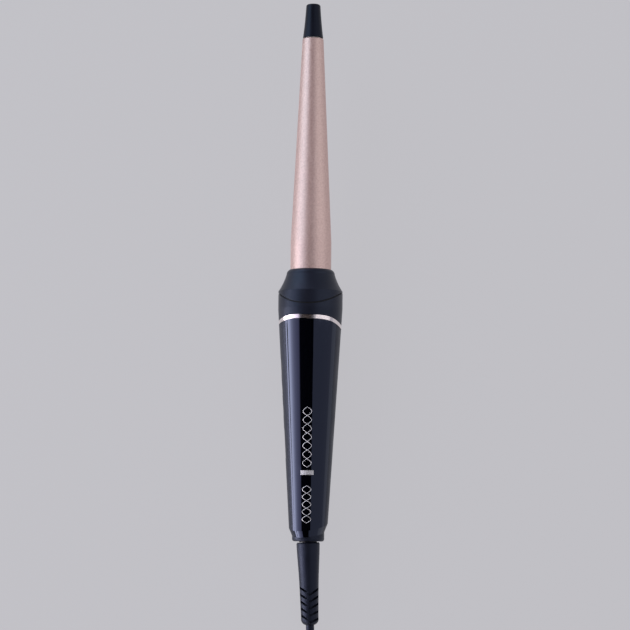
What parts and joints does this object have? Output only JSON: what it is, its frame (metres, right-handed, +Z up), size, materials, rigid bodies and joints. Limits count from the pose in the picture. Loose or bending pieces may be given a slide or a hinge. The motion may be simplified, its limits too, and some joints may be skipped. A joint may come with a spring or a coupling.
{
  "type": "curling wand",
  "caption": "Conical curling wand with a rose-gold barrel, cool tip, glossy-fronted handle, side buttons, turning cord joint and a mains cord tied in a hank.",
  "frame": {"origin": "on the table, under the middle of the wand without its free cord", "axes": "+Y towards the cool tip, +Z up out of the glossy front, +X to the right; the wand lies on the flat along its underside, so its own axis rises 3.4 degrees towards the tip"},
  "size_m": [0.0468, 0.6262, 0.0396],
  "materials": {
    "heat_resistant_plastic": "fine satin, black",
    "steel": "zinc plated",
    "ceramic": "unglazed white",
    "rose_coat": "rose-gold shimmer coat, satin",
    "aluminium": "as extruded",
    "glass_bead": "clear",
    "high_heat_plastic": "moulded, dark brown",
    "mica": "mica sheet",
    "matte_shell": "soft-touch, blue-black",
    "dark_rubber": "matt black",
    "rose_chrome": "polished, rose tint",
    "gloss_front": "piano black",
    "button_plastic": "satin",
    "switch_key": "moulded, ivory",
    "switch_body": "moulded, black",
    "circuit_board": "solder mask, green",
    "smoked_lens": "smoked, polished",
    "led_body": "clear white",
    "capacitor_case": "moulded, ochre",
    "capacitor_sleeve": "shrink sleeve, dark blue",
    "chip_plastic": "moulded, black",
    "lead_sleeve": "woven glass sleeve",
    "sensor_insulation": "thin insulation, white",
    "mains_insulation": "insulation, blue",
    "spindle_plastic": "moulded, black",
    "brass": "turned",
    "cord_rubber": "matt, blue-black",
    "tie_strap": "hook-and-loop strap, black",
    "plug_plastic": "moulded, blue-black",
    "pin_metal": "nickel plated"
  },
  "bodies": {
    "cord_set": {"swivel_spindle": "spindle_plastic", "slip_rings": "brass", "retaining_clip": "steel", "cord_boot": "cord_rubber", "cord_lead": "cord_rubber", "cord_hank": "cord_rubber", "hank_tie": "tie_strap", "cord_tail": "cord_rubber", "plug_body": "plug_plastic", "plug_pins": "pin_metal"},
    "wand": {"cool_tip": "heat_resistant_plastic", "tip_plug": "heat_resistant_plastic", "tip_screw": "steel", "tip_insulator": "ceramic", "barrel": "rose_coat", "heat_spreader_front": "aluminium", "heat_spreader_rear": "aluminium", "ptc_heater": "ceramic", "clamp_spring": "steel", "thermistor": "glass_bead", "thermal_fuse": "steel", "barrel_holder": "high_heat_plastic", "barrel_screws": "steel", "heat_shield": "mica", "collar_cone": "matte_shell", "collar_gasket": "dark_rubber", "collar_band": "matte_shell", "trim_ring": "rose_chrome", "front_cover": "gloss_front", "rear_shell": "matte_shell", "shell_screws": "steel", "accent_bar": "rose_chrome", "end_cap": "matte_shell", "tact_switches": "switch_body", "button_board": "circuit_board", "indicator_lens": "smoked_lens", "indicator_leds": "led_body", "main_board": "circuit_board", "board_screws": "steel", "film_capacitor": "capacitor_case", "electrolytic_capacitor": "capacitor_sleeve", "triac": "chip_plastic", "microcontroller": "chip_plastic", "board_fuse": "glass_bead", "heater_leads": "lead_sleeve", "sensor_leads": "sensor_insulation", "mains_leads": "mains_insulation", "contact_housing": "spindle_plastic", "contact_springs": "brass"},
    "power_key": {"power_button": "button_plastic", "power_plunger": "switch_key"},
    "plus_key": {"plus_button": "button_plastic", "plus_plunger": "switch_key"},
    "minus_key": {"minus_button": "button_plastic", "minus_plunger": "switch_key"}
  },
  "joints": [
    {"name": "cord_swivel", "type": "hinge", "parent": "cord_set", "child": "wand", "pos_m": [0, -0.14021, 0.01089], "axis": [0, 0.9982, 0.0595], "continuous": true},
    {"name": "power_press", "type": "slide", "parent": "wand", "child": "power_key", "axis": [0.9982, 0.0594, 0.0035], "range_m": [0, 0.0007], "stiffness_N_per_m": 900, "springref_m": -0.0015},
    {"name": "plus_press", "type": "slide", "parent": "wand", "child": "plus_key", "axis": [0.9982, 0.0594, 0.0035], "range_m": [0, 0.0006], "stiffness_N_per_m": 900, "springref_m": -0.0015},
    {"name": "minus_press", "type": "slide", "parent": "wand", "child": "minus_key", "axis": [0.9982, 0.0594, 0.0035], "range_m": [0, 0.0006], "stiffness_N_per_m": 900, "springref_m": -0.0015}
  ]
}
